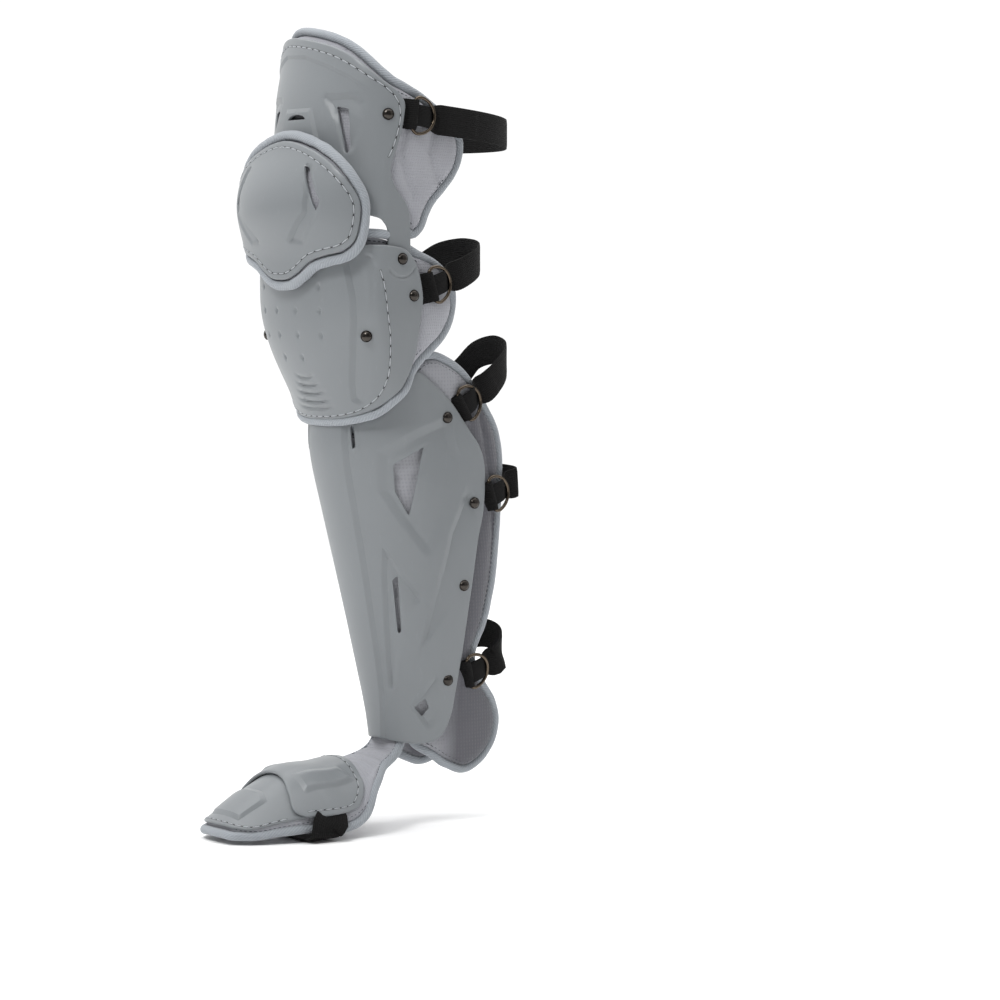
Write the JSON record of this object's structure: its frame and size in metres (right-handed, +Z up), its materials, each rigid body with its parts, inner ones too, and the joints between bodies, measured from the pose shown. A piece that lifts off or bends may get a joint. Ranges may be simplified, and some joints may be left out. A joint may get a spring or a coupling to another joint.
{
  "type": "catcher leg guard",
  "caption": "Left-hand baseball catcher's leg guard: hinged hard shells on bound pads, with D-rings, elastic straps and a foot flap.",
  "frame": {"origin": "inner face of the shin pad on the centre plane, halfway down the shin", "axes": "+Z up along the leg towards the thigh, front towards -Y, the wearer's left (ring side) towards +X"},
  "size_m": [0.177, 0.2635, 0.6475],
  "materials": {
    "shell": "satin moulded plastic, cool grey",
    "pad": "smooth quilted mesh cloth",
    "binding": "padded twill edge roll",
    "rivet": "domed gunmetal rivet",
    "ring": "gunmetal wire ring",
    "webbing": "black ribbed elastic"
  },
  "bodies": {
    "shin_part": {"kneecap_plate": "shell", "knee_plate": "shell", "shin_plate": "shell", "instep_plate": "shell", "toe_plate": "shell", "kneecap_pad": "pad", "knee_pad": "pad", "shin_pad": "pad", "foot_pad": "pad", "kneecap_binding": "binding", "knee_binding": "binding", "shin_binding": "binding", "foot_binding": "binding", "knee_rivet_left": "rivet", "knee_rivet_right": "rivet", "calf_rivet_left": "rivet", "calf_rivet_right": "rivet", "lower_calf_rivet_left": "rivet", "lower_calf_rivet_right": "rivet", "ankle_rivet_left": "rivet", "ankle_rivet_right": "rivet", "pivot_rivet_left": "rivet", "pivot_rivet_right": "rivet", "knee_front_rivet_left": "rivet", "knee_front_rivet_right": "rivet", "shin_rivet_left": "rivet", "shin_rivet_right": "rivet", "knee_ring": "ring", "calf_ring": "ring", "lower_calf_ring": "ring", "ankle_ring": "ring", "knee_ring_tab": "webbing", "calf_ring_tab": "webbing", "lower_calf_ring_tab": "webbing", "ankle_ring_tab": "webbing", "knee_strap": "webbing", "calf_strap": "webbing", "lower_calf_strap": "webbing", "ankle_strap": "webbing", "foot_strap": "webbing"},
    "thigh_part": {"thigh_plate": "shell", "thigh_pad": "pad", "thigh_binding": "binding", "thigh_rivet_left": "rivet", "thigh_rivet_right": "rivet", "thigh_ring": "ring", "thigh_ring_tab": "webbing", "thigh_strap": "webbing"}
  },
  "joints": [
    {"name": "knee_flex", "type": "hinge", "parent": "shin_part", "child": "thigh_part", "pos_m": [0, -0.02, 0.26], "axis": [-1, 0, 0], "range_deg": [0, 30]}
  ]
}
